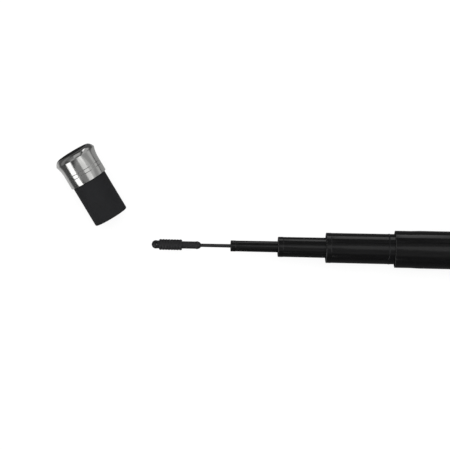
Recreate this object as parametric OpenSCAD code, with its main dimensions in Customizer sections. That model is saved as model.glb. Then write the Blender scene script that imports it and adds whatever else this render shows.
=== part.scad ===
// Telescopic fishing pole, nearly closed, with its front plug taken out and laid beside the tip.
// The pole lies along X with its mouth towards -X, and the origin is the centre of the butt end face.

/* [Butt section] */
// Length of the butt section with its screw cap
butt_l = 700; // [600:5:900]
// Outer diameter at the mouth, where the tube is ground down
butt_mouth_d = 21.2; // [21.2:0.05:21.4]
// Outer diameter just behind the ground mouth
butt_front_d = 21.55; // [21.4:0.05:21.9]
// Outer diameter at the rear end
butt_rear_d = 23.4; // [23:0.1:23.6]
// Length of the ground mouth
butt_ground_l = 9; // [6:0.5:14]
// Length of the ramp behind the ground mouth
butt_ramp_l = 5; // [3:0.5:10]
// Wall at the ground mouth
butt_mouth_wall = 0.35; // [0.3:0.05:0.35]
// Wall at the rear end
butt_rear_wall = 0.7; // [0.6:0.05:0.8]

/* [Telescopic sections] */
// Outer diameter of section 2 at its mouth
s2_mouth_d = 17.1; // [16.8:0.05:17.4]
// Outer diameter of section 3 at its mouth
s3_mouth_d = 11.35; // [11:0.05:11.7]
// Outer diameter of section 4 at its mouth
s4_mouth_d = 6.15; // [5.9:0.05:6.4]
// Diameter of the solid tip section where it enters the line connector
tip_front_d = 1.95; // [1.8:0.05:2.1]
// Wall of sections 2, 3 and 4 at the mouth
section_wall = 0.5; // [0.45:0.05:0.55]
// Extra wall of sections 2, 3 and 4 at the rear end
rear_wall_extra = 0.05; // [0:0.01:0.1]
// How far section 2 stands out of the butt
s2_out = 39.4; // [30:0.1:50]
// How far section 3 stands out of section 2
s3_out = 27.4; // [20:0.1:35]
// How far section 4 stands out of section 3
s4_out = 27; // [20:0.1:35]
// How far the tip section with its connector stands out of section 4
tip_out = 45; // [40:0.1:55]
// How far section 3 slides into section 2 from here
s3_in = 36; // [30:0.5:42]
// How far section 4 slides into section 3 from here
s4_in = 36; // [30:0.5:42]
// Room between the front plug and the connector when the pole is closed
closed_room = 8.2; // [6:0.1:12]
// Radial clearance of each rear end in the mouth that it jams in when the pole is extended
jam_clearance = 0.05; // [0.02:0.01:0.1]
// Length of the hoop wrap that reinforces each mouth
wrap_l = 3; // [2:0.5:6]
// Thickness of a hoop wrap
wrap_t = 0.09; // [0.05:0.01:0.15]

/* [Grip and screw cap] */
// Diameter of the straight grip
grip_d = 24.2; // [24:0.1:25]
// Length of the grip
grip_l = 200; // [150:5:260]
// Width of the trim ring in front of the grip
trim_w = 4; // [2:0.5:8]
// Outer diameter of the screw cap's knurled head
cap_d = 24; // [22:0.1:24]
// Length of the screw cap's head
cap_head_l = 12; // [9:0.5:16]
// Thread diameter of the screw cap
cap_thread_d = 17.4; // [15:0.1:18]
// Number of grooves round the knurled head
knurl_n = 40; // [24:2:60]

/* [Line connector] */
// Diameter of the round head
ball_d = 4.72; // [4.5:0.02:4.9]
// Diameter of the eye through the round head
eye_d = 1.2; // [1:0.05:1.3]
// Angle between the eye and the vertical
eye_tilt = 20; // [18:1:40]
// Diameter of the collar between the head and the sleeve
collar_d = 4.5; // [4.3:0.02:4.5]
// Diameter of the stem that the sleeve slides on
stem_d = 4.1; // [3.9:0.02:4.2]
// Length of the connector from the head's front to the rear dome
connector_l = 27.9; // [26.9:0.5:31.9]
// Length of the ribbed sleeve
sleeve_l = 12.94; // [12:0.1:14]
// Diameter over the sleeve's ribs
rib_d = 6.12; // [6:0.02:6.4]
// Diameter between the ribs
rib_valley_d = 5.72; // [5.5:0.02:5.8]
// Number of ribs
rib_n = 8; // [6:1:10]

/* [Front plug] */
// Diameter of the plug head's rim
plug_rim_d = 24.6; // [24.2:0.1:25]
// Diameter of the straight part of the plug head
plug_head_d = 22.25; // [21.9:0.05:22.6]
// Length of the plug head
plug_head_l = 18.1; // [16:0.1:20]
// Length of the flare from the rim to the straight part
plug_flare_l = 6.8; // [5:0.1:7]
// Diameter of the black inlay in the plug head's end
plug_inlay_d = 18.4; // [16:0.1:19]
// Diameter of the rubber
plug_rubber_d = 20.4; // [19.8:0.05:20.4]
// Length of rubber outside the head
plug_rubber_l = 25; // [20:0.1:26]
// Distance of the lying plug's end face along the pole, from the butt's mouth
plug_ahead = 185; // [180:0.5:195]
// Distance of the lying plug's end face from the pole's axis
plug_aside = 51.4; // [48:0.1:60]
// Angle between the lying plug and the pole, seen from above
plug_turn = 57.8; // [50:0.1:65]

/* [Hidden] */
$fn = 96;

lacquer = "#1b1b1c";
matt_black = "#2b2b2c";
rubber_black = "#252627";
polished = "#b9bab8";
satin = "#8d8f91";

// Thin gap left where one piece is glued or pressed over another
glue = 0.01;
// Small bevel on cut tube ends
edge = 0.12;
// How far a cut reaches past the surface it opens
over = 1;

// Screw cap and insert, from the butt end forwards
pad_l = 2.5;
pad_proud = 1;
pad_d = 20;
pad_bevel = 0.4;
cap_x = -pad_proud - cap_head_l;
o_ring_w = 1.2;
flange_t = 2;
flange_x = cap_x - o_ring_w;
tube_rear_x = flange_x - flange_t;
insert_front_x = -38;
cushion_l = 4;
thread_gap = 0.1;
cushion_gap = 0.2;
spigot_bevel = 0.6;
cap_front_bevel = 0.5;
cap_rear_bevel = 1;
knurl_depth = 0.5;
knurl_front_gap = 1.6;
knurl_rear_gap = 2.8;
knurl_l = cap_head_l - knurl_front_gap - knurl_rear_gap;

// Where each mouth stands: butt, sections 2 to 4, then the connector's front
mouth_x = [
    -butt_l,
    -butt_l - s2_out,
    -butt_l - s2_out - s3_out,
    -butt_l - s2_out - s3_out - s4_out,
    -butt_l - s2_out - s3_out - s4_out - tip_out
];
// The connector's rear dome stops just short of section 4's mouth
tip_in = tip_out - connector_l - 0.2;
// Section 2 takes the rest of the way, so that the front plug has room in the mouth
total_in = -butt_l + plug_rubber_l + closed_room - mouth_x[4];
s2_in = total_in - s3_in - s4_in - tip_in;
// Closed, all rear ends stand this far from the insert's front
stop_gap = 0.5;
closed_rear_x = insert_front_x - stop_gap;
rear_x = [
    tube_rear_x,
    closed_rear_x - s2_in,
    closed_rear_x - s2_in - s3_in,
    closed_rear_x - s2_in - s3_in - s4_in,
    closed_rear_x - s2_in - s3_in - s4_in - tip_in
];
// Overlap left between each section and its parent when the pole is fully extended
overlap = [0, 60, 55, 50, 45];

function mix(a, b, t) = a + (b - a) * t;
// Bore of section i at its mouth and at its rear end
mouth_d = [butt_mouth_d, s2_mouth_d, s3_mouth_d, s4_mouth_d];
function mouth_bore(i) = mouth_d[i] - 2 * (i == 0 ? butt_mouth_wall : section_wall);
function rear_bore(i) = i == 0 ? butt_rear_d - 2 * butt_rear_wall
    : rear_d(i) - 2 * (section_wall + rear_wall_extra);
// Bore of section i at a depth from its mouth
function bore_at(i, depth) = mix(mouth_bore(i), rear_bore(i), depth / (rear_x[i] - mouth_x[i]));
// Outer diameter of section i at its rear end, which jams in its parent's mouth
function rear_d(i) = i == 0 ? butt_rear_d : bore_at(i - 1, overlap[i]) - 2 * jam_clearance;
// Outer diameter of section i at x
function outer_at(i, x) = mix(mouth_d[i], rear_d(i), (x - mouth_x[i]) / (rear_x[i] - mouth_x[i]));
// Outer diameter of the butt at x, behind its ground mouth
butt_full_x = -butt_l + butt_ground_l + butt_ramp_l;
function butt_outer_at(x) = mix(butt_front_d, butt_rear_d, (x - butt_full_x) / (tube_rear_x - butt_full_x));

// Grip
grip_rear_ring_w = 1.8;
grip_rear_x = tube_rear_x - grip_rear_ring_w;
grip_front_x = grip_rear_x - grip_l;
trim_recess = 0.1;

// Band near the root of the visible part of section 2
band_w = 0.8;
band_t = 0.12;
band_x = -butt_l - 3.8;

// Connector, measured backwards from the front of its head
head_x = mouth_x[4];
sleeve_start = 4.3;
collar_gap = 0.06;
sleeve_clearance = 0.06;
bead_start = connector_l - 2.7;
bead_l = 1.2;
bead_d = stem_d + 0.28;
bead_ramp = 0.3;
// Rear dome: [distance inwards from the stem's surface, distance from the connector's end]
dome = [[0.05, 1.15], [0.2, 0.75], [0.5, 0.35]];
dome_lip = 0.25;
tip_depth = 9;
tip_bevel = 0.6;
eye_behind = 0.3;
pip_d = 1.1;
pip_depth = 0.25;
pip_aside = 0.3;
rib_pitch = sleeve_l / rib_n;
rib_top = rib_pitch * 0.36;
rib_flank = rib_pitch * 0.18;

// Plug, measured from the end face of its head
rim_h = 3;
// How round the rim's edge is: 0 is a plain bevel, 1 a full quarter round
rim_round = 0.6;
rim_wall = 0.15;
inlay_t = 1.3;
inlay_crown = 0.35;
groove_z = [11, 13.2];
groove_w = 0.32;
groove_depth = 0.09;
head_bevel = 0.3;
socket_d = 18.8;
socket_z = 8;
neck_clearance = 0.05;
plug_l = plug_head_l + plug_rubber_l;
screw_d = 4;
screw_z = 4;
screw_end_gap = 0.5;
screw_clearance = 0.1;
recess_d = 9.6;
recess_z = 27;
washer_d = 9;
washer_t = 0.8;
screw_head_d = 7.6;
screw_head_h = 2.4;
screw_head_taper = 0.6;
slot_l = 4;
slot_w = 1;
slot_depth = 1.4;
rubber_corner = 0.8;
floor_z = -grip_d / 2;
// The plug lies on the rim of its head and on the end of its rubber
plug_tilt = atan((plug_rim_d - plug_rubber_d) / 2 / (plug_l - rubber_corner - rim_h));
plug_face_z = floor_z + plug_rim_d / 2 * cos(plug_tilt) + rim_h * sin(plug_tilt);

// Turns a [radius, x] outline about the pole's axis
module lathe(outline) {
    rotate([0, 90, 0]) rotate_extrude() polygon(outline);
}

// Tapered tube with slightly bevelled ends
module tube(x0, x1, d0, d1, bore0, bore1) {
    lathe([
        [bore0 / 2, x0], [d0 / 2 - edge, x0], [d0 / 2, x0 + edge],
        [d1 / 2, x1 - edge], [d1 / 2 - edge, x1], [bore1 / 2, x1]
    ]);
}

// Plain ring over a cone that measures d0 at x0 and d1 at x1
module ring(x0, x1, d0, d1, outer_d) {
    lathe([
        [d0 / 2 + glue, x0], [outer_d / 2, x0], [outer_d / 2, x1], [d1 / 2 + glue, x1]
    ]);
}

module butt_tube() {
    color(lacquer) lathe([
        [mouth_bore(0) / 2, -butt_l],
        [butt_mouth_d / 2 - edge, -butt_l],
        [butt_mouth_d / 2, -butt_l + edge],
        [butt_mouth_d / 2, -butt_l + butt_ground_l],
        [butt_front_d / 2, butt_full_x],
        [butt_rear_d / 2, tube_rear_x],
        [rear_bore(0) / 2, tube_rear_x]
    ]);
}

module grip_sleeve() {
    color(matt_black)
        ring(grip_front_x, grip_rear_x, butt_outer_at(grip_front_x), butt_outer_at(grip_rear_x), grip_d);
}

module grip_front_ring() {
    x0 = grip_front_x - trim_w;
    color(satin)
        ring(x0, grip_front_x, butt_outer_at(x0), butt_outer_at(grip_front_x), grip_d - trim_recess);
}

module grip_rear_ring() {
    color(satin)
        ring(grip_rear_x, tube_rear_x, butt_outer_at(grip_rear_x), butt_rear_d, grip_d - trim_recess);
}

module thread_insert() {
    bore_r = cap_thread_d / 2 + thread_gap;
    front_r = bore_at(0, insert_front_x + butt_l) / 2 - glue;
    rear_r = rear_bore(0) / 2 - glue;
    color(satin) lathe([
        [bore_r, insert_front_x], [front_r, insert_front_x], [rear_r, tube_rear_x],
        [cap_d / 2 - trim_recess, tube_rear_x], [cap_d / 2 - trim_recess, flange_x], [bore_r, flange_x]
    ]);
}

module butt_cap() {
    spigot_x = insert_front_x + cushion_l;
    thread_r = cap_thread_d / 2;
    head_r = cap_d / 2;
    pad_r = pad_d / 2 + glue;
    color(satin) difference() {
        lathe([
            [0, spigot_x], [thread_r - spigot_bevel, spigot_x], [thread_r, spigot_x + spigot_bevel],
            [thread_r, cap_x], [head_r - cap_front_bevel, cap_x], [head_r, cap_x + cap_front_bevel],
            [head_r, -pad_proud - cap_rear_bevel], [head_r - cap_rear_bevel, -pad_proud], [0, -pad_proud]
        ]);
        lathe([[0, -pad_l], [pad_r, -pad_l], [pad_r, over], [0, over]]);
        for (i = [0 : knurl_n - 1])
            rotate([i * 360 / knurl_n, 0, 0])
                translate([cap_x + knurl_front_gap, 0, head_r])
                    rotate([0, 90, 0]) cylinder(h = knurl_l, r = knurl_depth, $fn = 16);
    }
}

module butt_pad() {
    color(rubber_black) lathe([
        [0, -pad_l], [pad_d / 2, -pad_l], [pad_d / 2, -pad_bevel], [pad_d / 2 - pad_bevel, 0], [0, 0]
    ]);
}

module cap_cushion() {
    r = cap_thread_d / 2 - cushion_gap;
    x1 = insert_front_x + cushion_l;
    color(rubber_black) lathe([[0, insert_front_x], [r, insert_front_x], [r, x1], [0, x1]]);
}

module cap_o_ring() {
    r = o_ring_w / 2 - glue;
    color(rubber_black)
        translate([flange_x + o_ring_w / 2, 0, 0]) rotate([0, 90, 0])
            rotate_extrude() translate([cap_thread_d / 2 + o_ring_w, 0]) circle(r = r, $fn = 32);
}

// Tube of section i
module section_tube(i) {
    color(lacquer) tube(mouth_x[i], rear_x[i], mouth_d[i], rear_d(i), mouth_bore(i), rear_bore(i));
}

// Hoop wrap round the mouth of section i
module mouth_wrap(i) {
    x0 = mouth_x[i] + edge;
    color(lacquer)
        ring(x0, x0 + wrap_l, mouth_d[i], outer_at(i, x0 + wrap_l), mouth_d[i] + 2 * wrap_t);
}

module section_2_tube() { section_tube(1); }
module section_2_mouth_wrap() { mouth_wrap(1); }
module section_3_tube() { section_tube(2); }
module section_3_mouth_wrap() { mouth_wrap(2); }
module section_4_tube() { section_tube(3); }
module section_4_mouth_wrap() { mouth_wrap(3); }

module section_2_band() {
    x1 = band_x + band_w;
    color(satin) ring(band_x, x1, outer_at(1, band_x), outer_at(1, x1), outer_at(1, x1) + 2 * band_t);
}

module tip_blank() {
    front_r = tip_front_d / 2;
    rear_r = rear_d(4) / 2;
    color(lacquer) lathe([
        [0, head_x + tip_depth], [front_r, head_x + tip_depth], [front_r, head_x + connector_l],
        [rear_r, rear_x[4] - tip_bevel], [rear_r - tip_bevel, rear_x[4]], [0, rear_x[4]]
    ]);
}

module connector_body() {
    stem_r = stem_d / 2;
    bead_r = bead_d / 2;
    bead_end = bead_start + bead_l;
    color(matt_black) difference() {
        translate([head_x, 0, 0]) union() {
            translate([ball_d / 2, 0, 0]) sphere(d = ball_d);
            lathe([
                [0, ball_d / 2], [collar_d / 2, ball_d / 2], [collar_d / 2, sleeve_start - collar_gap],
                [stem_r, sleeve_start - collar_gap], [stem_r, bead_start],
                [bead_r, bead_start + bead_ramp], [bead_r, bead_end - bead_ramp], [stem_r, bead_end],
                for (p = dome) [stem_r - p[0], connector_l - p[1]],
                [tip_front_d / 2 + dome_lip, connector_l], [0, connector_l]
            ]);
        }
        translate([head_x + tip_depth - glue, 0, 0]) rotate([0, 90, 0])
            cylinder(h = connector_l, d = tip_front_d + 2 * glue);
        translate([head_x + ball_d / 2 + eye_behind, 0, 0]) rotate([-eye_tilt, 0, 0])
            cylinder(h = 2 * ball_d, d = eye_d, center = true);
    }
}

// Outline points of one rib whose foot starts at x
function rib(x) = [
    [rib_valley_d / 2, x + rib_pitch / 2 - rib_top / 2 - rib_flank],
    [rib_d / 2, x + rib_pitch / 2 - rib_top / 2],
    [rib_d / 2, x + rib_pitch / 2 + rib_top / 2],
    [rib_valley_d / 2, x + rib_pitch / 2 + rib_top / 2 + rib_flank]
];

module connector_sleeve() {
    bore_r = stem_d / 2 + sleeve_clearance;
    x0 = head_x + sleeve_start;
    color(matt_black) difference() {
        lathe([
            [bore_r, x0], [rib_valley_d / 2, x0],
            for (i = [0 : rib_n - 1]) each rib(x0 + i * rib_pitch),
            [rib_valley_d / 2, x0 + sleeve_l], [bore_r, x0 + sleeve_l]
        ]);
        translate([x0 + sleeve_l - 1.5 * rib_pitch, pip_aside, rib_d / 2 - pip_depth])
            cylinder(h = over, d = pip_d);
    }
}

// Puts a shape drawn along +Z from the plug's end face where the plug lies
module plug_place() {
    translate([-butt_l - plug_ahead, plug_aside, plug_face_z])
        rotate([0, 90 + plug_tilt, -plug_turn]) children();
}

// Round edge of the head's rim, from the inlay's seat out to the widest point
function rim_arc(steps) = [
    for (i = [0 : steps]) let (a = 90 * i / steps, seat_r = plug_inlay_d / 2 + glue + rim_wall)
        [mix(seat_r, plug_rim_d / 2, mix(1 - cos(a), sin(a), rim_round)), rim_h * (1 - cos(a))]
];
// Hollow flare from the rim down to the straight part
function flare_arc(steps) = [
    for (i = [1 : steps]) let (t = i / steps)
        [plug_head_d / 2 + (plug_rim_d - plug_head_d) / 2 * (1 - t) * (1 - t), rim_h + plug_flare_l * t]
];
function groove(z) = [
    [plug_head_d / 2, z - groove_w / 2], [plug_head_d / 2 - groove_depth, z],
    [plug_head_d / 2, z + groove_w / 2]
];

module plug_head() {
    color(polished) plug_place() difference() {
        rotate_extrude() polygon([
            [0, inlay_t], [plug_inlay_d / 2 + glue, inlay_t], [plug_inlay_d / 2 + glue, 0],
            each rim_arc(8),
            each flare_arc(10),
            each groove(groove_z[0]), each groove(groove_z[1]),
            [plug_head_d / 2, plug_head_l - head_bevel], [plug_head_d / 2 - head_bevel, plug_head_l],
            [socket_d / 2, plug_head_l], [socket_d / 2, socket_z], [0, socket_z]
        ]);
        translate([0, 0, screw_z - screw_end_gap]) cylinder(h = socket_z, d = screw_d + 2 * glue);
    }
}

module plug_inlay() {
    crown_r = (plug_inlay_d * plug_inlay_d / 4 + inlay_crown * inlay_crown) / (2 * inlay_crown);
    color(lacquer) plug_place() intersection() {
        translate([0, 0, -inlay_crown]) cylinder(h = inlay_t + inlay_crown - glue, d = plug_inlay_d);
        translate([0, 0, crown_r - inlay_crown]) sphere(r = crown_r, $fn = 200);
    }
}

module plug_rubber() {
    color(rubber_black) plug_place() difference() {
        rotate_extrude() polygon([
            [0, socket_z + glue], [socket_d / 2 - neck_clearance, socket_z + glue],
            [socket_d / 2 - neck_clearance, plug_head_l + glue],
            [plug_rubber_d / 2, plug_head_l + glue],
            for (i = [0 : 4]) let (a = 90 * i / 4)
                [plug_rubber_d / 2 - rubber_corner * (1 - cos(a)), plug_l - rubber_corner * (1 - sin(a))],
            [0, plug_l]
        ]);
        translate([0, 0, socket_z - over]) cylinder(h = plug_l, d = screw_d + 2 * screw_clearance);
        translate([0, 0, recess_z]) cylinder(h = plug_l, d = recess_d);
    }
}

module plug_washer() {
    color(satin) plug_place() translate([0, 0, recess_z + glue]) difference() {
        cylinder(h = washer_t, d = washer_d);
        translate([0, 0, -over]) cylinder(h = washer_t + 2 * over, d = screw_d + 2 * screw_clearance);
    }
}

module plug_screw() {
    head_z = recess_z + washer_t + 2 * glue;
    top_z = head_z + screw_head_h;
    color(satin) plug_place() difference() {
        union() {
            translate([0, 0, screw_z]) cylinder(h = top_z - screw_z, d = screw_d);
            translate([0, 0, head_z])
                cylinder(h = screw_head_h, d1 = screw_head_d, d2 = screw_head_d - 2 * screw_head_taper);
        }
        for (a = [0, 90])
            rotate([0, 0, a]) translate([-slot_l / 2, -slot_w / 2, top_z - slot_depth])
                cube([slot_l, slot_w, slot_depth + over]);
    }
}

butt_tube();
grip_sleeve();
grip_front_ring();
grip_rear_ring();
thread_insert();
butt_cap();
butt_pad();
cap_cushion();
cap_o_ring();
section_2_tube();
section_2_mouth_wrap();
section_2_band();
section_3_tube();
section_3_mouth_wrap();
section_4_tube();
section_4_mouth_wrap();
tip_blank();
connector_body();
connector_sleeve();
plug_head();
plug_inlay();
plug_rubber();
plug_washer();
plug_screw();
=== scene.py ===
"""Looks of a telescopic fishing pole that lies nearly closed, with its front plug beside the tip.

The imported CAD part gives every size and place. Blender adds rounded lips, ribs, knurling, moulding lines
and the materials, and a white studio. Lengths in this file are millimetres until a mesh is made.
"""
import math

import bmesh
import bpy
from mathutils import Matrix, Vector


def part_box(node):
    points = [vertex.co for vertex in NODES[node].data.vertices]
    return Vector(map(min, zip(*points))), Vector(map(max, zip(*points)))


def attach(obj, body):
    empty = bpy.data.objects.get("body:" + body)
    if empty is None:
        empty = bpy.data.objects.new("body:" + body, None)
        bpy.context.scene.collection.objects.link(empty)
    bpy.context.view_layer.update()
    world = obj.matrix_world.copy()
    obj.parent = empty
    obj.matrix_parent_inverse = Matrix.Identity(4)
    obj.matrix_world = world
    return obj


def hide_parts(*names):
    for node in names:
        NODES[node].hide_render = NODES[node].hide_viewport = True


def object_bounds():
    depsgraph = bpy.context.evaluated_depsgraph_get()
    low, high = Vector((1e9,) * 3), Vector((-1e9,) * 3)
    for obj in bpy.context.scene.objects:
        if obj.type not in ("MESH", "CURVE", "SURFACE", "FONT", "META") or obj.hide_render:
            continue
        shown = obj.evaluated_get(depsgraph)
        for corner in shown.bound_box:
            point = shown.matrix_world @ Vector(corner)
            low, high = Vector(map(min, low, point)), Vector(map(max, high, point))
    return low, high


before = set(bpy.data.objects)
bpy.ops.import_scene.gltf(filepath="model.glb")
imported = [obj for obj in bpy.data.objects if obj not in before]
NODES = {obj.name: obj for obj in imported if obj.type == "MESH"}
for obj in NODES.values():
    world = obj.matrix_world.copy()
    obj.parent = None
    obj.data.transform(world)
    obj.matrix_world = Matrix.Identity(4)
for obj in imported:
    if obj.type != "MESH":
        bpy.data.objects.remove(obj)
cad_low, cad_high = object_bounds()

MM = 0.001
X_AXIS = Vector((1, 0, 0))
ORIGIN = Vector((0, 0, 0))


# ---------------------------------------------------------------- sizes read from the frame

# Points nearer to a bore's line than this, in mm, are the bore's own
THINNEST = 0.04
# Sizes that differ by less than this, in mm, are the same
SAME = 0.02


def unique_points(node):
    """The CAD node's corners, without the copies that share a place."""
    return sorted({tuple(round(c, 7) for c in v.co) for v in NODES[node].data.vertices})


def sizes(node, origin=ORIGIN, axis=X_AXIS):
    """(place along the axis, distance from the axis) of a CAD node's corners, in mm, sorted."""
    found = set()
    for point in unique_points(node):
        arm = Vector(point) - origin
        along = arm.dot(axis)
        found.add((round(along / MM, 2), round((arm - axis * along).length / MM, 2)))
    return sorted(found)


def outermost(pairs):
    """The largest distance from the axis at each place along it."""
    widest = {}
    for along, radius in pairs:
        widest[along] = max(radius, widest.get(along, 0))
    return sorted(widest.items())


def tube_outline(node):
    """Outer points from mouth to rear, and the bore's two ends, of a tube or ring round a straight bore."""
    pairs = sizes(node)
    x0, r0 = pairs[0]
    x1, r1 = min(p for p in pairs if p[0] == pairs[-1][0])
    outer = [p for p in outermost(pairs) if p[1] > r0 + (r1 - r0) * (p[0] - x0) / (x1 - x0) + THINNEST]
    return outer, [(x0, r0), (x1, r1)]


def middle(node):
    """Mean of a CAD node's corners, which is on the axis of a turned piece."""
    points = unique_points(node)
    return sum((Vector(p) for p in points), ORIGIN.copy()) / len(points)


# ---------------------------------------------------------------- mesh code

# Half angles above this are edges that run straight on, so they have no corner to round
NEARLY_STRAIGHT = math.radians(88)
# The most of an edge that one corner's arc may take
ARC_SHARE = 0.45
# Radii below this, in mm, are points on the axis
ON_AXIS = 1e-6


def rounded(points, radii, steps=4):
    """A closed outline of (along, radius) points with some of its corners turned into arcs.
    radii gives a corner's radius by the point's number, and steps is the number of edges in an arc."""
    made = []
    for i, here in enumerate(points):
        corner = Vector(here)
        to_last = Vector(points[i - 1]) - corner
        to_next = Vector(points[(i + 1) % len(points)]) - corner
        half = to_last.angle(to_next, math.pi) / 2
        if i not in radii or half > NEARLY_STRAIGHT:
            made.append(tuple(corner))
            continue
        reach = min(radii[i] / math.tan(half), to_last.length * ARC_SHARE, to_next.length * ARC_SHARE)
        start = corner + to_last.normalized() * reach
        end = corner + to_next.normalized() * reach
        for step in range(steps + 1):
            t = step / steps
            made.append(tuple(start * (1 - t) ** 2 + corner * 2 * t * (1 - t) + end * t * t))
    return made


def turned(name, outline, segments, relief=None):
    """Mesh turned round local Z from a closed outline of (along, radius) points in mm.
    relief(angle, along, radius) gives a new radius, for ribs and knurls that don't go all the way round."""
    verts, faces, rows = [], [], []
    for along, radius in outline:
        if radius < ON_AXIS:
            rows.append([len(verts)] * segments)
            verts.append((0, 0, along * MM))
            continue
        row = []
        for s in range(segments):
            angle = 2 * math.pi * s / segments
            r = relief(angle, along, radius) if relief else radius
            row.append(len(verts))
            verts.append((r * MM * math.cos(angle), r * MM * math.sin(angle), along * MM))
        rows.append(row)
    for a, b in zip(rows, rows[1:] + rows[:1]):
        for s in range(segments):
            n = (s + 1) % segments
            corners = []
            for v in (a[s], a[n], b[n], b[s]):
                if v not in corners:
                    corners.append(v)
            if len(corners) > 2:
                faces.append(corners)
    mesh = bpy.data.meshes.new(name)
    mesh.from_pydata(verts, [], faces)
    mesh.validate()
    return mesh


def face_out(mesh):
    """Turns all faces outwards."""
    b = bmesh.new()
    b.from_mesh(mesh)
    bmesh.ops.recalc_face_normals(b, faces=b.faces)
    b.to_mesh(mesh)
    b.free()


# Lays a mesh that is made round Z along the pole
ALONG_POLE = Matrix.Rotation(math.radians(90), 4, "Y")
# Turns a place in the pole's frame into the local frame of a mesh that is made round Z
TO_LOCAL = Matrix.Rotation(math.radians(-90), 4, "Y")


def add_piece(mesh, materials, body, node, place=ALONG_POLE, sharp=32):
    """Makes a mesh the piece that stands for a CAD node: placed, smooth, finished, riding on its body.
    Edges that turn by more than sharp degrees stay crisp."""
    face_out(mesh)
    mesh.shade_smooth()
    mesh.set_sharp_from_angle(angle=math.radians(sharp))
    piece = bpy.data.objects.new(mesh.name, mesh)
    bpy.context.scene.collection.objects.link(piece)
    piece.matrix_world = place
    for material in materials:
        mesh.materials.append(material)
    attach(piece, body)
    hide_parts(node)


def cut(mesh, cutter_mesh, cutter_place):
    """mesh with cutter_mesh, put at cutter_place in the mesh's own frame, taken away from it."""
    face_out(mesh)
    face_out(cutter_mesh)
    whole = bpy.data.objects.new("whole", mesh)
    tool = bpy.data.objects.new("tool", cutter_mesh)
    for o in (whole, tool):
        bpy.context.scene.collection.objects.link(o)
    tool.matrix_world = cutter_place
    boolean = whole.modifiers.new("cut", "BOOLEAN")
    boolean.object = tool
    boolean.operation = "DIFFERENCE"
    boolean.solver = "EXACT"
    depsgraph = bpy.context.evaluated_depsgraph_get()
    result = bpy.data.meshes.new_from_object(whole.evaluated_get(depsgraph))
    result.name = mesh.name
    bpy.data.objects.remove(whole)
    bpy.data.objects.remove(tool)
    return result


# ---------------------------------------------------------------- materials

# Sockets of a Mix node that mixes colours
MIX_A, MIX_B, MIX_OUT = 6, 7, 2
NOISE_ROUGHNESS = 0.55


class Nodes:
    """A short way to write a material's node tree."""

    def __init__(self, name, color, metallic, roughness, ior=1.5):
        """A new material whose shader has these even values, which the nodes then vary."""
        self.material = bpy.data.materials.new(name)
        self.material.use_nodes = True
        self.tree = self.material.node_tree
        self.shader = self.tree.nodes["Principled BSDF"]
        self.shader.inputs["Base Color"].default_value = (*color, 1)
        self.shader.inputs["Metallic"].default_value = metallic
        self.shader.inputs["Roughness"].default_value = roughness
        self.shader.inputs["IOR"].default_value = ior

    def add(self, kind, **settings):
        """A new node, with its sockets or properties set by name."""
        node = self.tree.nodes.new(kind)
        for key, value in settings.items():
            if key in node.inputs:
                node.inputs[key].default_value = value
            else:
                setattr(node, key, value)
        return node

    def link(self, out, into):
        """Joins an output socket to an input socket."""
        self.tree.links.new(out, into)

    def use(self, name, out):
        """Joins an output socket to the shader's input of that name."""
        self.link(out, self.shader.inputs[name])

    def coords(self, stretch):
        """Object coordinates in metres, stretched by a vector: larger means finer along that axis."""
        source = self.add("ShaderNodeTexCoord")
        mapping = self.add("ShaderNodeMapping", Scale=stretch)
        self.link(source.outputs["Object"], mapping.inputs["Vector"])
        return mapping.outputs["Vector"]

    def noise(self, stretch, scale, detail):
        """Noise from 0 to 1 over the stretched object coordinates."""
        made = self.add("ShaderNodeTexNoise", Scale=scale, Detail=detail, Roughness=NOISE_ROUGHNESS)
        self.link(self.coords(stretch), made.inputs["Vector"])
        return made.outputs["Fac"]

    def mapped(self, value, low, high, from_low=0.3, from_high=0.7):
        """A value between from_low and from_high turned into one between low and high."""
        made = self.add("ShaderNodeMapRange")
        made.inputs["From Min"].default_value = from_low
        made.inputs["From Max"].default_value = from_high
        made.inputs["To Min"].default_value = low
        made.inputs["To Max"].default_value = high
        self.link(value, made.inputs["Value"])
        return made.outputs["Result"]

    def color_mix(self, factor, a, b):
        """Colour a where the factor is 0, and b where it is 1."""
        made = self.add("ShaderNodeMix", data_type="RGBA")
        made.inputs[MIX_A].default_value = (*a, 1)
        made.inputs[MIX_B].default_value = (*b, 1)
        self.link(factor, made.inputs["Factor"])
        return made.outputs[MIX_OUT]

    def bump(self, height, distance, below=None):
        """A normal bumped by height times distance in metres, over the normal below it."""
        made = self.add("ShaderNodeBump", Strength=1.0, Distance=distance)
        self.link(height, made.inputs["Height"])
        if below is not None:
            self.link(below, made.inputs["Normal"])
        return made.outputs["Normal"]


def lacquer(name, base=0.004):
    """Gloss black lacquer over carbon: fibres along the tube, a faint wrapped ripple, soft smudges."""
    n = Nodes(name, (base, base, base), 0, 0.13, ior=1.42)
    fibres = n.noise((9, 9, 0.25), scale=900, detail=2)
    dark, light = (base * 0.6,) * 3, (base * 1.7, base * 1.7, base * 1.8)
    n.use("Base Color", n.color_mix(n.mapped(fibres, 0, 1), dark, light))
    smudge = n.noise((1, 1, 0.35), scale=55, detail=5)
    n.use("Roughness", n.mapped(smudge, 0.10, 0.19))
    ripple = n.noise((0.15, 0.15, 1), scale=320, detail=1)
    grain = n.noise((1, 1, 0.1), scale=2600, detail=2)
    n.use("Normal", n.bump(grain, 0.000004, below=n.bump(ripple, 0.00002)))
    return n.material


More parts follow.
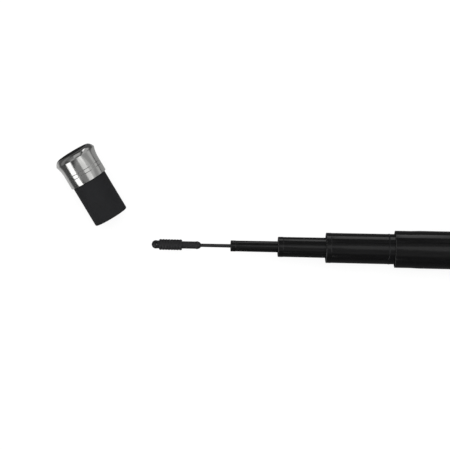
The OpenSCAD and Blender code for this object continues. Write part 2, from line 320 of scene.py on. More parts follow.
def bare_laminate(name):
    """Ground tube edge: bare fibre and resin, lighter than the lacquer."""
    n = Nodes(name, (0.05, 0.05, 0.05), 0, 0.32)
    layers = n.noise((1, 1, 1), scale=2400, detail=4)
    n.use("Base Color", n.color_mix(n.mapped(layers, 0, 1), (0.03, 0.03, 0.03), (0.08, 0.08, 0.079)))
    n.use("Roughness", n.mapped(layers, 0.25, 0.42))
    n.use("Normal", n.bump(layers, 0.00003))
    return n.material


def turned_metal(name, color, dark, rough_low, rough_high, line_depth):
    """Metal with fine turned lines round local Z, a little uneven in tone."""
    n = Nodes(name, color, 1, (rough_low + rough_high) / 2)
    lines = n.noise((0.012, 0.012, 1), scale=5200, detail=4)
    cloud = n.noise((1, 1, 1), scale=140, detail=4)
    n.use("Base Color", n.color_mix(n.mapped(cloud, 0, 1), dark, color))
    n.use("Roughness", n.mapped(lines, rough_low, rough_high))
    n.use("Normal", n.bump(lines, line_depth))
    return n.material


# How much lighter than its ground a dust speck is
SPECK_LIGHTER = 2.6


def moulded(name, dark, light, rough_low, rough_high, grain_scale, grain_depth):
    """Matt moulded rubber or plastic: fine pitted grain, uneven tone, a few lighter dust specks."""
    n = Nodes(name, dark, 0, rough_high)
    tone = n.noise((1, 1, 1), scale=180, detail=5)
    specks = n.noise((1, 1, 1), scale=3800, detail=1)
    base = n.color_mix(n.mapped(tone, 0, 1), dark, light)
    speck = n.add("ShaderNodeMix", data_type="RGBA")
    n.link(n.mapped(specks, 0, 0.5, 0.70, 0.76), speck.inputs["Factor"])
    n.link(base, speck.inputs[MIX_A])
    speck.inputs[MIX_B].default_value = (*[c * SPECK_LIGHTER for c in light], 1)
    n.use("Base Color", speck.outputs[MIX_OUT])
    n.use("Roughness", n.mapped(tone, rough_low, rough_high))
    grain = n.noise((1, 1, 1), scale=grain_scale, detail=3)
    n.use("Normal", n.bump(grain, grain_depth))
    return n.material


def zinc(name):
    """Zinc plated steel with crystal-like patches."""
    n = Nodes(name, (0.55, 0.55, 0.54), 1, 0.35)
    patches = n.add("ShaderNodeTexVoronoi", Scale=900.0)
    n.link(n.coords((1, 1, 1)), patches.inputs["Vector"])
    n.use("Base Color", n.color_mix(patches.outputs["Distance"], (0.45, 0.45, 0.45), (0.62, 0.61, 0.58)))
    n.use("Roughness", n.mapped(patches.outputs["Distance"], 0.25, 0.45, 0, 1))
    n.use("Normal", n.bump(patches.outputs["Distance"], 0.00001))
    return n.material


LACQUER = lacquer("lacquer")
TIP_COAT = lacquer("tip_coat", 0.014)
INLAY = moulded("inlay_black", (0.006, 0.006, 0.006), (0.009, 0.009, 0.009), 0.45, 0.6, 3000, 0.00001)
EDGE = bare_laminate("cut_edge")
POLISHED = turned_metal("polished_metal", (0.80, 0.80, 0.78), (0.70, 0.70, 0.69), 0.10, 0.22, 0.000004)
SATIN = turned_metal("satin_aluminium", (0.30, 0.305, 0.31), (0.24, 0.245, 0.25), 0.28, 0.42, 0.00001)
BAND = turned_metal("dark_band", (0.064, 0.064, 0.066), (0.044, 0.044, 0.046), 0.30, 0.45, 0.00001)
RUBBER = moulded("rubber", (0.010, 0.0102, 0.011), (0.014, 0.0143, 0.0155), 0.62, 0.80, 2600, 0.00003)
GRIP = moulded("grip_rubber", (0.016, 0.016, 0.0165), (0.024, 0.024, 0.025), 0.66, 0.85, 3000, 0.00003)
PLASTIC = moulded("connector_plastic", (0.0072, 0.0072, 0.0076), (0.010, 0.010, 0.0105), 0.42, 0.58, 3400,
                  0.00002)
ZINC = zinc("zinc_steel")
# These blacks reflect less than the shader's own level of 0.5
for matt, shine in ((INLAY, 0.06), (RUBBER, 0.2), (GRIP, 0.2)):
    matt.node_tree.nodes["Principled BSDF"].inputs["Specular IOR Level"].default_value = shine


# ---------------------------------------------------------------- the pole's tubes

# How far the ground lip reaches back from a mouth, the most of the wall that it may take, and how much of
# it looks bare
LIP = 0.15
LIP_SHARE = 0.8
LIP_BARE = 0.98
# A tube's two ends, where its outline is drawn afresh
END_ZONE = 1
# Radii of the rounded edges: a mouth's bore edge as a share of the wall, and a rear end's two edges
BORE_EDGE_SHARE = 0.25
REAR_EDGE, REAR_BORE_EDGE = 0.1, 0.05
# Lengths of a wrap's feathered ends, and the radii that soften them
WRAP_RAMPS = (0.15, 0.5)
WRAP_EDGES = {1: 0.1, 2: 0.6}
BAND_EDGE = 0.06


def lip_faces(mesh, mouth, reach):
    """The second material goes on the faces within reach of the mouth plane."""
    limit = (mouth + reach) * MM
    for polygon in mesh.polygons:
        polygon.material_index = int(all(mesh.vertices[v].co.z < limit for v in polygon.vertices))


def section(node, body):
    """A tapered tube with a rounded, ground lip at its mouth and a plain cut at its rear."""
    outer, bore = tube_outline(node)
    mouth, rear = bore[0][0], bore[-1][0]
    front_r = max(r for x, r in outer if x < mouth + END_ZONE)
    rear_r = max(r for x, r in outer if x > rear - END_ZONE)
    wall = front_r - bore[0][1]
    walls = [(x, r) for x, r in outer if mouth + END_ZONE < x < rear - END_ZONE]
    loop = [(mouth, bore[0][1]), (mouth, front_r), *walls, (rear, rear_r), (rear, bore[1][1])]
    last = len(loop) - 1
    reach = min(LIP, wall * LIP_SHARE)
    edges = {0: wall * BORE_EDGE_SHARE, 1: reach, last: REAR_BORE_EDGE, last - 1: REAR_EDGE}
    mesh = turned(node + "_shell", rounded(loop, edges, 5), 128)
    add_piece(mesh, [LACQUER, EDGE], body, node)
    lip_faces(mesh, mouth, reach * LIP_BARE)


def wrap(node, body):
    """A hoop wrap with feathered ends, proud of the tube by less than a hair."""
    outer, bore = tube_outline(node)
    x0, x1 = bore[0][0], bore[1][0]
    top = max(r for x, r in outer)
    loop = [bore[0], (x0 + WRAP_RAMPS[0], top), (x1 - WRAP_RAMPS[1], top), bore[1]]
    mesh = turned(node + "_shell", rounded(loop, WRAP_EDGES), 96)
    add_piece(mesh, [LACQUER], body, node)


def thin_band():
    """The thin ring round section 2."""
    outer, bore = tube_outline("section_2_band")
    loop = [bore[0], *outer, bore[1]]
    mesh = turned("section_2_band_ring", rounded(loop, {1: BAND_EDGE, 2: BAND_EDGE}, 3), 96)
    add_piece(mesh, [BAND], "section_2", "section_2_band")


def solid_tip():
    """The thin solid rod that carries the connector."""
    pairs = [p for p in outermost(sizes("tip_blank")) if p[1] > 0]
    loop = [(pairs[0][0], 0), *pairs, (pairs[-1][0], 0)]
    mesh = turned("tip_blank_rod", rounded(loop, {1: 0.1}, 3), 48)
    add_piece(mesh, [TIP_COAT], "tip", "tip_blank")


for number in (2, 3, 4):
    section(f"section_{number}_tube", f"section_{number}")
    wrap(f"section_{number}_mouth_wrap", f"section_{number}")
section("butt_tube", "butt")
thin_band()
solid_tip()


# ---------------------------------------------------------------- grip, trim rings and screw cap

# Ridges round the grip, the length in which a ridge crosses to the next one, and how low the ground between
# them lies
GRIP_CROSSINGS = 30
GRIP_PITCH = 2.4
GRIP_RELIEF = 0.22
GRIP_SMOOTH_END = 5.0
# How steeply a ridge falls on both sides, which makes it 2 / RIDGE_FALL of the pitch wide
RIDGE_FALL = 4.5
# How far the sleeve's front and rear edges are rolled down
GRIP_EDGES = (0.25, 0.05)


def ridge(phase):
    """1 on a ridge's crest and 0 between ridges, for a phase in turns."""
    away = abs(phase - round(phase))
    return max(0.0, 1 - away * RIDGE_FALL)


def grip():
    """Non-slip shrink sleeve with low crossing ridges and smooth ends."""
    outer, bore = tube_outline("grip_sleeve")
    x0, x1 = bore[0][0], bore[1][0]
    top = max(r for x, r in outer)
    rings = int((x1 - x0) / GRIP_PITCH) * 5

    def relief(angle, along, radius):
        """The ground between the ridges, lower than the crests."""
        if radius < top - 0.01 or along < x0 + GRIP_SMOOTH_END or along > x1 - GRIP_SMOOTH_END:
            return radius
        turns = angle / (2 * math.pi) * GRIP_CROSSINGS
        steps = (along - x0) / GRIP_PITCH
        height = max(ridge(turns + steps), ridge(turns - steps))
        return radius - GRIP_RELIEF * (1 - height)

    surface = [(x0 + (x1 - x0) * i / rings, top) for i in range(rings + 1)]
    loop = [bore[0], (x0, top - GRIP_EDGES[0]), *surface[1:-1], (x1, top - GRIP_EDGES[1]), bore[1]]
    mesh = turned("grip_sleeve_cover", loop, GRIP_CROSSINGS * 6, relief)
    add_piece(mesh, [GRIP], "butt", "grip_sleeve", sharp=60)


# Half width and depth of a trim ring's grooves, and its bevels
RING_GROOVE = (0.25, 0.2)
RING_BEVEL = 0.2


def trim_ring(node, grooves):
    """A thin aluminium ring with bevelled edges and turned grooves."""
    outer, bore = tube_outline(node)
    x0, x1 = bore[0][0], bore[1][0]
    top = max(r for x, r in outer)
    half, depth = RING_GROOVE
    loop = [bore[0], (x0, top)]
    for g in range(grooves):
        centre = x0 + (x1 - x0) * (g + 1) / (grooves + 1)
        loop += [(centre - half, top), (centre, top - depth), (centre + half, top)]
    loop += [(x1, top), bore[1]]
    mesh = turned(node + "_turned", rounded(loop, {1: RING_BEVEL, len(loop) - 2: RING_BEVEL}, 3), 128)
    add_piece(mesh, [SATIN], "butt", node)


grip()
trim_ring("grip_front_ring", 2)
trim_ring("grip_rear_ring", 0)

KNURLS = 40
KNURL_DEPTH = 0.5
# The plain rings on both sides of the knurls, the rows of corners along a knurl, and its run-out
FRONT_RING, REAR_RING = 1.4, 2.2
KNURL_ROWS = 10
KNURL_RUNOUT = 0.2
SPIGOT_BEVEL, HEAD_BEVEL = 0.6, 0.4
THREAD_PITCH = 1.5
# Outline of one thread turn: (distance into the turn, depth)
THREAD = ((0, 0), (0.35, 0), (0.7, 0.45), (1.05, 0))
# Outline of the head's rounded rear edge: (distance from the end, distance below the surface)
HEAD_EDGE = ((0.9, 0), (0.45, 0.15), (0.15, 0.45), (0, 0.9))
PAD_GAP = 0.02
# Radii of the rings moulded into the foot, and the outline across one: (distance out, depth)
PAD_RINGS = (7.6, 5.4, 3.2)
PAD_GROOVE = ((0.5, 0), (0.15, 0.35), (-0.15, 0.35), (-0.5, 0))


def screw_cap():
    """The screw cap: a spigot with thread grooves and a head with scalloped knurling."""
    pairs = sizes("butt_cap")
    spigot_x, rear_x = pairs[0][0], pairs[-1][0]
    head_r = max(r for x, r in pairs)
    head_x = min(x for x, r in pairs if r > head_r - 0.6)
    thread_r = max(r for x, r in pairs if x < head_x - 1)
    pad_r = max(r for x, r in sizes("butt_pad")) + PAD_GAP
    pad_x = sizes("butt_pad")[0][0]
    knurl_start, knurl_end = head_x + FRONT_RING, rear_x - REAR_RING

    def relief(angle, along, radius):
        """Scallops round the head."""
        if radius < head_r - 0.05 or not knurl_start < along < knurl_end:
            return radius
        return radius - KNURL_DEPTH * max(0.0, math.cos(angle * KNURLS)) ** 1.5

    thread = []
    for turn in range(int((head_x - spigot_x - 2) / THREAD_PITCH)):
        start = spigot_x + 1 + turn * THREAD_PITCH
        thread += [(start + on, thread_r - depth) for on, depth in THREAD]
    row_l = (knurl_end - knurl_start) / KNURL_ROWS
    knurled = [(knurl_start + row_l * i, head_r) for i in range(KNURL_ROWS + 1)]
    loop = [
        (spigot_x, 0), (spigot_x, thread_r - SPIGOT_BEVEL), *thread,
        (head_x, thread_r), (head_x, head_r - HEAD_BEVEL), (head_x + HEAD_BEVEL, head_r),
        (knurl_start - KNURL_RUNOUT, head_r), *knurled, (knurl_end + KNURL_RUNOUT, head_r),
        *[(rear_x - on, head_r - depth) for on, depth in HEAD_EDGE],
        (rear_x, pad_r), (pad_x, pad_r), (pad_x, 0),
    ]
    mesh = turned("butt_cap_turned", loop, KNURLS * 8, relief)
    add_piece(mesh, [SATIN], "screw_cap", "butt_cap", sharp=40)


def foot_pad():
    """Rubber foot with moulded rings in its face."""
    pairs = sizes("butt_pad")
    x0, x1 = pairs[0][0], pairs[-1][0]
    r = max(p[1] for p in pairs)
    loop = [(x0, 0), (x0, r), (x1, r)]
    for ring_r in PAD_RINGS:
        loop += [(x1 - depth, ring_r + out) for out, depth in PAD_GROOVE]
    loop.append((x1, 0))
    mesh = turned("butt_pad_moulded", rounded(loop, {2: 0.45}), 96)
    add_piece(mesh, [RUBBER], "screw_cap", "butt_pad")


screw_cap()
foot_pad()


# ---------------------------------------------------------------- line connector

# Height of the connector's moulding lines, how narrow they are, and the radius below which there are none
PART_LINE = 0.045
PART_LINE_WIDTH = 0.0016
PART_LINE_FROM = 1.2
# How far the tip goes into the connector, and the room round it
CONNECTOR_BORE = 9.0
BORE_ROOM = 0.02
# The eye: its radius, how much it widens at both ends, how far behind the head's middle it is, and its lean
EYE_R = 0.6
EYE_FLARE = 0.2
EYE_BEHIND = 0.3
EYE_TILT = math.radians(20)
# Room between the collar and the sleeve
COLLAR_GAP = 0.06
COLLAR_EDGE = 0.15
STEM_EDGE = 0.3
HEAD_STEPS = 20
EYE_STEPS = 12
RIBS = 8
RIB_SAMPLES = 14
# Below 1, a rib is broader than the valley beside it
RIB_FULLNESS = 0.6
# A radius between the sleeve's bore and its valleys: moulding lines are only outside it
SLEEVE_OUTSIDE = 2.3
# How much the bore of the sleeve widens at its ends and over what length, and how low its end edges are
SLEEVE_MOUTH = 0.08
SLEEVE_MOUTH_L = 0.1
SLEEVE_END = 0.04
# Outline of the sleeve's dimple: (height, radius), and how far it is from the middle line
DIMPLE = ((-0.28, 0), (-0.28, 0.38), (-0.1, 0.5), (0.6, 0.62), (0.6, 0))
DIMPLE_ASIDE = 0.3


def side_line(angle, width):
    """1 on the two lines along a moulded piece's sides, falling to 0 within about width."""
    return math.exp(-((1 - abs(math.sin(angle))) / width))


def part_lines(angle, _along, radius):
    """Low moulding lines along both sides of a moulded piece."""
    return radius + (PART_LINE * side_line(angle, PART_LINE_WIDTH) if radius > PART_LINE_FROM else 0)


def connector_body():
    """Round head with a leaning eye, collar, stem, ring bead and domed rear."""
    low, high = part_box("connector_body")
    front, rear = low.x / MM, high.x / MM
    ball_r = (high.z - low.z) / MM / 2
    bore_r = max(r for x, r in sizes("tip_blank") if x < rear) + BORE_ROOM
    profile = [p for p in outermost(sizes("connector_body")) if p[1] > bore_r + 0.1]
    collar_end = min(x for x, r in sizes("connector_sleeve")) - COLLAR_GAP
    collar_r = [r for x, r in profile if abs(x - collar_end) < SAME][0]
    behind = [p for p in profile if p[0] > collar_end + 1]
    meet = math.pi - math.asin(collar_r / ball_r)
    shape = []
    for i in range(HEAD_STEPS + 1):
        angle = meet * i / HEAD_STEPS
        shape.append((front + ball_r * (1 - math.cos(angle)), ball_r * math.sin(angle)))
    edges = {len(shape): COLLAR_EDGE}
    shape += [(collar_end, collar_r), (collar_end, behind[0][1])]
    for i in range(len(behind) - 1):
        edges[len(shape) + i] = STEM_EDGE
    shape += behind + [(rear, bore_r), (front + CONNECTOR_BORE, bore_r), (front + CONNECTOR_BORE, 0)]
    mesh = turned("connector_body_moulded", rounded(shape, edges), 96, part_lines)
    reach = ball_r * 1.1
    hole = [(-reach, 0)]
    for i in range(EYE_STEPS + 1):
        t = -1 + 2 * i / EYE_STEPS
        hole.append((reach * t, EYE_R + EYE_FLARE * abs(t) ** 3))
    hole.append((reach, 0))
    place = TO_LOCAL @ Matrix.Translation(((front + ball_r + EYE_BEHIND) * MM, 0, 0))
    mesh = cut(mesh, turned("eye_cutter", hole, 32), place @ Matrix.Rotation(-EYE_TILT, 4, "X"))
    add_piece(mesh, [PLASTIC], "tip", "connector_body")


def connector_sleeve():
    """Locking sleeve with rounded ribs and a small round dimple near its rear."""
    pairs = sizes("connector_sleeve")
    x0, x1 = pairs[0][0], pairs[-1][0]
    bore_r = min(r for x, r in pairs)
    rib_r = max(r for x, r in pairs)
    valley_r = min(r for x, r in pairs if r > bore_r + 0.1)
    pitch = (x1 - x0) / RIBS
    surface = []
    for i in range(RIBS * RIB_SAMPLES + 1):
        phase = i / RIB_SAMPLES
        wave = 0.5 - 0.5 * math.cos(2 * math.pi * phase)
        surface.append((x0 + pitch * phase, valley_r + (rib_r - valley_r) * wave ** RIB_FULLNESS))

    def relief(angle, along, radius):
        """Moulding lines on the outside only."""
        return part_lines(angle, along, radius) if radius > SLEEVE_OUTSIDE else radius

    loop = [(x0, bore_r + SLEEVE_MOUTH), (x0, valley_r - SLEEVE_END), *surface[1:-1],
            (x1, valley_r - SLEEVE_END), (x1, bore_r + SLEEVE_MOUTH), (x1 - SLEEVE_MOUTH_L, bore_r),
            (x0 + SLEEVE_MOUTH_L, bore_r)]
    mesh = turned("connector_sleeve_moulded", loop, 128, relief)
    place = TO_LOCAL @ Matrix.Translation(((x1 - 1.5 * pitch) * MM, DIMPLE_ASIDE * MM, rib_r * MM))
    mesh = cut(mesh, turned("dimple_cutter", DIMPLE, 24), place)
    add_piece(mesh, [PLASTIC], "line_lock", "connector_sleeve")


connector_body()
connector_sleeve()


# ---------------------------------------------------------------- front plug

plug_axis = (middle("plug_rubber") - middle("plug_head")).normalized()
face_along = sizes("plug_head", middle("plug_head"), plug_axis)[0][0]
plug_face = middle("plug_head") + plug_axis * face_along * MM
plug_place = Matrix.Translation(plug_face) @ plug_axis.to_track_quat("Z", "Y").to_matrix().to_4x4()
head_sizes, rubber_sizes, inlay_sizes = [
    sizes(node, plug_face, plug_axis) for node in ("plug_head", "plug_rubber", "plug_inlay")]
head_end = head_sizes[-1][0]
inlay_r = max(r for z, r in inlay_sizes)
# Between a plain bevel, 0, and a full quarter round, 1
RIM_ROUND = 0.6
# Outline of a turned groove: (distance from its middle, depth)
GROOVE = ((-0.24, 0), (-0.19, 0), (-0.16, 0.015), (-0.04, 0.085), (0, 0.1), (0.04, 0.085), (0.16, 0.015),
          (0.19, 0), (0.24, 0))
# How near the flare's radius is to the straight part's where it ends
FLARE_MEETS = 0.005
RIM_STEPS = 22
# Room between the inlay and its seat, and the small bevel at the seat's mouth
SEAT_GAP = 0.02
SEAT_BEVEL = 0.12
# Outline of the head's rear edge: (distance from the end, distance below the surface)
HEAD_REAR_EDGE = ((0.35, 0), (0.12, 0.08), (0, 0.3))


def plug_head():
    """Polished flared head: rounded rim, hollow flare, two fine grooves, socket for the rubber."""
    rim_r = max(r for z, r in head_sizes)
    rim_z = [z for z, r in head_sizes if r == rim_r][0]
    straight_r = max(r for z, r in head_sizes if z > head_end - 1)
    socket_r = min(r for z, r in head_sizes if z == head_end)
    socket_z = min(z for z, r in head_sizes if abs(r - socket_r) < SAME)
    flare_end = min(z for z, r in head_sizes if z > rim_z and abs(r - straight_r) < FLARE_MEETS)
    in_groove = [z for z, r in head_sizes if socket_r + 0.1 < r < straight_r - 0.05]
    seat = inlay_r + SEAT_GAP
    seat_edge = seat + SEAT_BEVEL
    loop = [(inlay_sizes[-1][0] + SEAT_GAP, 0), (inlay_sizes[-1][0] + SEAT_GAP, seat), (SEAT_BEVEL, seat),
            (0, seat_edge)]
    for i in range(1, RIM_STEPS + 1):
        a = math.pi / 2 * i / RIM_STEPS
        outwards = (1 - math.cos(a)) * (1 - RIM_ROUND) + math.sin(a) * RIM_ROUND
        loop.append((rim_z * (1 - math.cos(a)), seat_edge + (rim_r - seat_edge) * outwards))
    for i in range(1, RIM_STEPS + 1):
        t = i / RIM_STEPS
        loop.append((rim_z + (flare_end - rim_z) * t, straight_r + (rim_r - straight_r) * (1 - t) ** 2))
    for z in sorted(z for z in set(in_groove) if flare_end < z < head_end - 1):
        loop += [(z + off, straight_r - depth) for off, depth in GROOVE]
    loop += [(head_end - on, straight_r - depth) for on, depth in HEAD_REAR_EDGE]
    loop += [(head_end, socket_r), (socket_z, socket_r), (socket_z, 0)]
    mesh = turned("plug_head_polished", loop, 160)
    add_piece(mesh, [POLISHED], "front_plug", "plug_head", plug_place, 40)


INLAY_STEPS = 14
INLAY_EDGE = 0.12


def plug_inlay():
    """Slightly domed matt black disc in the head's end face."""
    crown, back = inlay_sizes[0][0], inlay_sizes[-1][0]
    loop = [(back, 0), (back, inlay_r)]
    for i in range(INLAY_STEPS + 1):
        r = inlay_r * (1 - i / INLAY_STEPS)
        loop.append((crown * (1 - (r / inlay_r) ** 2), r))
    mesh = turned("plug_inlay_disc", rounded(loop, {2: INLAY_EDGE}, 3), 128)
    add_piece(mesh, [INLAY], "front_plug", "plug_inlay", plug_place)


# The rubber's moulding lines are fine grooves: their depth, and how narrow they are
RUBBER_LINE = 0.05
RUBBER_LINE_WIDTH = 0.0004
RUBBER_ROWS = 8
# Length at the end that has no rows of corners
RUBBER_END = 1.1
# The rubber's round end: its radius and number of edges
RUBBER_CORNER = 0.8
CORNER_STEPS = 6
# The small bevel where the rubber comes out of the head, and the room before it
RUBBER_BEVEL = 0.12
HEAD_GAP = 0.02
# Outline of the screw recess's edge: (distance from the end, distance outside the recess)
RECESS_EDGE = ((0, 0.4), (0.15, 0.12), (0.4, 0))


def plug_rubber():
    """Rubber body with a rounded end, its screw recess and faint moulding lines."""
    top, end = rubber_sizes[0][0], rubber_sizes[-1][0]
    body_r = max(r for z, r in rubber_sizes)
    neck_r = max(r for z, r in rubber_sizes if z < head_end - 1)
    recess_r = min(r for z, r in rubber_sizes if z == end)
    recess_z = min(z for z, r in rubber_sizes if abs(r - recess_r) < SAME)
    hole_r = min(r for z, r in rubber_sizes)

    def relief(angle, along, radius):
        """Moulding lines along the sides of the body."""
        if radius < body_r - RUBBER_CORNER - 0.1 or along < head_end:
            return radius
        return radius - RUBBER_LINE * side_line(angle, RUBBER_LINE_WIDTH)

    start = head_end + HEAD_GAP
    loop = [(top, hole_r), (top, neck_r), (start, neck_r), (start, body_r - RUBBER_BEVEL)]
    for i in range(RUBBER_ROWS):
        loop.append((start + RUBBER_BEVEL + (end - RUBBER_END - head_end) * i / RUBBER_ROWS, body_r))
    for i in range(CORNER_STEPS + 1):
        a = math.pi / 2 * i / CORNER_STEPS
        loop.append((end - RUBBER_CORNER * (1 - math.sin(a)), body_r - RUBBER_CORNER * (1 - math.cos(a))))
    loop += [(end - on, recess_r + out) for on, out in RECESS_EDGE]
    loop += [(recess_z, recess_r), (recess_z, hole_r)]
    mesh = turned("plug_rubber_moulded", loop, 160, relief)
    add_piece(mesh, [RUBBER], "front_plug", "plug_rubber", plug_place)


plug_head()
plug_inlay()
plug_rubber()

CARRIED_OVER = {
    "thread_insert": (SATIN, "satin_aluminium"),
    "cap_cushion": (RUBBER, "rubber"),
    "cap_o_ring": (RUBBER, "rubber"),
    "plug_washer": (ZINC, "zinc_steel"),
    "plug_screw": (ZINC, "zinc_steel"),
}
for name, (material, slot_name) in CARRIED_OVER.items():
    node = NODES[name]
    node.data.materials.clear()
    node.data.materials.append(material)


# ---------------------------------------------------------------- studio

FLOOR_Z = cad_low.z
FLOOR_HALF = 40.0
FLOOR_PAPER = 0.14
FLOOR_GLOW = 0.88


def white_floor():
    """A pale floor that glows a little, so that shadows stay soft and light."""
    mesh = bpy.data.meshes.new("floor")
    h = FLOOR_HALF
    corners = [(-h, -h, FLOOR_Z), (h, -h, FLOOR_Z), (h, h, FLOOR_Z), (-h, h, FLOOR_Z)]
    mesh.from_pydata(corners, [], [(0, 1, 2, 3)])
    material = bpy.data.materials.new("floor_paper")
    material.use_nodes = True
    shader = material.node_tree.nodes["Principled BSDF"]
    shader.inputs["Base Color"].default_value = (FLOOR_PAPER, FLOOR_PAPER, FLOOR_PAPER, 1)
    shader.inputs["Roughness"].default_value = 1
    shader.inputs["Specular IOR Level"].default_value = 0
    shader.inputs["Emission Color"].default_value = (1, 1, 1, 1)
    shader.inputs["Emission Strength"].default_value = FLOOR_GLOW
    mesh.materials.append(material)
    floor = bpy.data.objects.new("floor", mesh)
    bpy.context.scene.collection.objects.link(floor)
    floor.visible_glossy = False


white_floor()

# Panels of the studio as the object's gloss sees them: azimuth and elevation in degrees, half width and half
# height as tangents, a sideways shift, how soft the edge is, and how bright the panel is
PANELS = [
    ("back_wall", 90, -3, 0.055, 0.231, -0.044, 0.015, 1.35),
    ("overhead", 90, 90, 1.3, 0.80, 0, 0.25, 0.18),
    ("side_box", 212.2, 28.1, 0.78, 0.289, 0.38, 0.04, 1.4),
    ("top_box", 32.2, 73, 0.68, 0.272, -0.38, 0.05, 0.55),
    ("rim_middle", 111, 27, 0.28, 0.27, 0, 0.04, 0.38),
    ("rim_left", 145, 30, 0.30, 0.36, 0, 0.12, 0.14),
    ("rim_right", 73, 10, 0.17, 0.55, 0, 0.05, 0.38),
    ("rim_low", 160, -6, 0.45, 0.25, 0, 0.12, 0.14),
    ("flare_fill", 295, 48, 0.25, 0.25, 0, 0.08, 0.07),
    ("right_wall", 12, 24, 1.1, 0.70, 0, 0.15, 0.26),
    ("right_low", 12, 1, 1.1, 0.17, 0, 0.10, 0.16),
    ("floor_left", 212.2, -55, 0.42, 0.39, -0.05, 0.16, 0.43),
    ("floor_right", 32.2, -47, 0.38, 0.56, -0.09, 0.10, 0.24),
]
# As pale as the floor looks
BACKDROP_GLOW = 0.934
# The room in the gloss, from straight below to just above the horizon: (up component, brightness)
ROOM_GLOW = [(-1.0, 0.15), (-0.95, 0.10), (-0.59, 0.08), (-0.24, 0.07), (0.0, 0.06), (0.04, 0.035)]
# What a panel's distance is kept above, and how far in front of the object its plane has to be
LEAST_DEPTH = 1e-4
IN_FRONT = 0.02


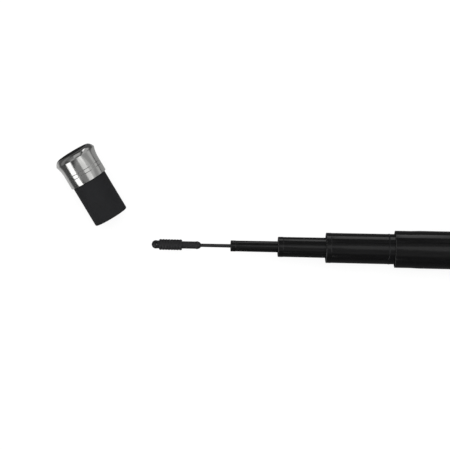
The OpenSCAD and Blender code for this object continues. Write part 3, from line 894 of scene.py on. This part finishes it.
def studio_world():
    """The world: a dim room with soft panels in the gloss, and a plain pale backdrop when seen directly."""
    world = bpy.data.worlds.new("studio")
    bpy.context.scene.world = world
    world.use_nodes = True
    tree = world.node_tree
    background = tree.nodes["Background"]
    source = tree.nodes.new("ShaderNodeTexCoord").outputs["Generated"]

    def math_node(operation, *values):
        """The output of a Math node over sockets or numbers."""
        node = tree.nodes.new("ShaderNodeMath")
        node.operation = operation
        for socket, value in zip(node.inputs, values):
            if isinstance(value, (int, float)):
                socket.default_value = value
            else:
                tree.links.new(value, socket)
        return node.outputs[0]

    def dot(vector):
        """How far the direction looked in goes along a vector."""
        node = tree.nodes.new("ShaderNodeVectorMath")
        node.operation = "DOT_PRODUCT"
        tree.links.new(source, node.inputs[0])
        node.inputs[1].default_value = vector
        return node.outputs["Value"]

    def window(value, half, soft):
        """1 inside half, falling to 0 over soft."""
        node = tree.nodes.new("ShaderNodeMapRange")
        node.interpolation_type = "SMOOTHSTEP"
        tree.links.new(math_node("ABSOLUTE", value), node.inputs["Value"])
        node.inputs["From Min"].default_value = half - soft
        node.inputs["From Max"].default_value = half + soft
        node.inputs["To Min"].default_value = 1
        node.inputs["To Max"].default_value = 0
        return node.outputs["Result"]

    ramp = tree.nodes.new("ShaderNodeValToRGB")
    tree.links.new(math_node("ADD", dot((0, 0, 1)), 1), ramp.inputs["Fac"])
    stops = ramp.color_ramp.elements
    for number, (up, glow) in enumerate(ROOM_GLOW):
        stop = stops[number] if number < 2 else stops.new(up + 1)
        stop.position = up + 1
        stop.color = (glow, glow, glow, 1)
    total = ramp.outputs["Color"]
    for name, azimuth, elevation, half_w, half_h, shift, soft, power in PANELS:
        a, e = math.radians(azimuth), math.radians(elevation)
        facing = Vector((math.cos(a) * math.cos(e), math.sin(a) * math.cos(e), math.sin(e)))
        across = Vector((-math.sin(a), math.cos(a), 0))
        upward = facing.cross(across)
        depth = math_node("MAXIMUM", dot(facing), LEAST_DEPTH)
        inside = math_node(
            "MULTIPLY",
            window(math_node("SUBTRACT", math_node("DIVIDE", dot(across), depth), shift), half_w, soft),
            window(math_node("DIVIDE", dot(upward), depth), half_h, soft),
        )
        front = math_node("GREATER_THAN", dot(facing), IN_FRONT)
        lit = math_node("MULTIPLY", math_node("MULTIPLY", inside, front), power)
        lit.node.label = name
        total = math_node("ADD", total, lit)
    # Seen directly, past the floor's edge, the room is a plain backdrop as pale as the floor.
    seen = tree.nodes.new("ShaderNodeLightPath").outputs["Is Camera Ray"]
    reflected = math_node("MULTIPLY", total, math_node("SUBTRACT", 1, seen))
    strength = math_node("ADD", reflected, math_node("MULTIPLY", seen, BACKDROP_GLOW))
    tree.links.new(strength, background.inputs["Strength"])
    background.inputs["Color"].default_value = (1, 1, 1, 1)


studio_world()

# The key light's size in metres and power in watts, what it points at, and where it is from there
KEY_SIZE = (3.0, 2.4)
KEY_POWER = 62
KEY_TARGET = Vector((-0.6, 0, 0))
KEY_FROM_TARGET = Vector((-0.5, 0.7, 2.0))


def key_light():
    """Soft light from above for the matt surfaces; the gloss sees only the studio's panels."""
    data = bpy.data.lights.new("key", "AREA")
    data.shape = "RECTANGLE"
    data.size, data.size_y = KEY_SIZE
    data.energy = KEY_POWER
    light = bpy.data.objects.new("key", data)
    bpy.context.scene.collection.objects.link(light)
    light.location = KEY_TARGET + KEY_FROM_TARGET
    light.rotation_euler = (-KEY_FROM_TARGET).to_track_quat("-Z", "Y").to_euler()
    light.visible_glossy = False
    light.visible_camera = False


key_light()


# ---------------------------------------------------------------- camera

LENS = 400.0
SENSOR = 36.0
CLIP = (0.1, 500)
# Width of the view at the object, and where its middle is
VIEW_WIDTH = 0.2565
AIM_AHEAD_OF_MOUTH = 0.09725
AIM_ASIDE = 0.01184
# How the camera leans from straight above, and turns about its own line of sight
LEAN_FORWARD = math.radians(2.5)
LEAN_ASIDE = math.radians(2.3)
ROLL = math.radians(1.19)

mouth_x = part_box("butt_tube")[0].x
aim = Vector((mouth_x - AIM_AHEAD_OF_MOUTH, AIM_ASIDE, 0))
back = Vector((-math.tan(LEAN_FORWARD), math.tan(LEAN_ASIDE), 1)).normalized()
right = Vector((math.cos(ROLL), math.sin(ROLL), 0))
right = (right - back * right.dot(back)).normalized()
upward = back.cross(right)
camera_data = bpy.data.cameras.new("camera")
camera_data.lens = LENS
camera_data.sensor_width = SENSOR
camera_data.clip_start, camera_data.clip_end = CLIP
camera = bpy.data.objects.new("camera", camera_data)
bpy.context.scene.collection.objects.link(camera)
turn = Matrix((right, upward, back)).transposed().to_4x4()
camera.matrix_world = Matrix.Translation(aim + back * (VIEW_WIDTH * LENS / SENSOR)) @ turn
bpy.context.scene.camera = camera
bpy.context.scene.view_settings.view_transform = "Standard"
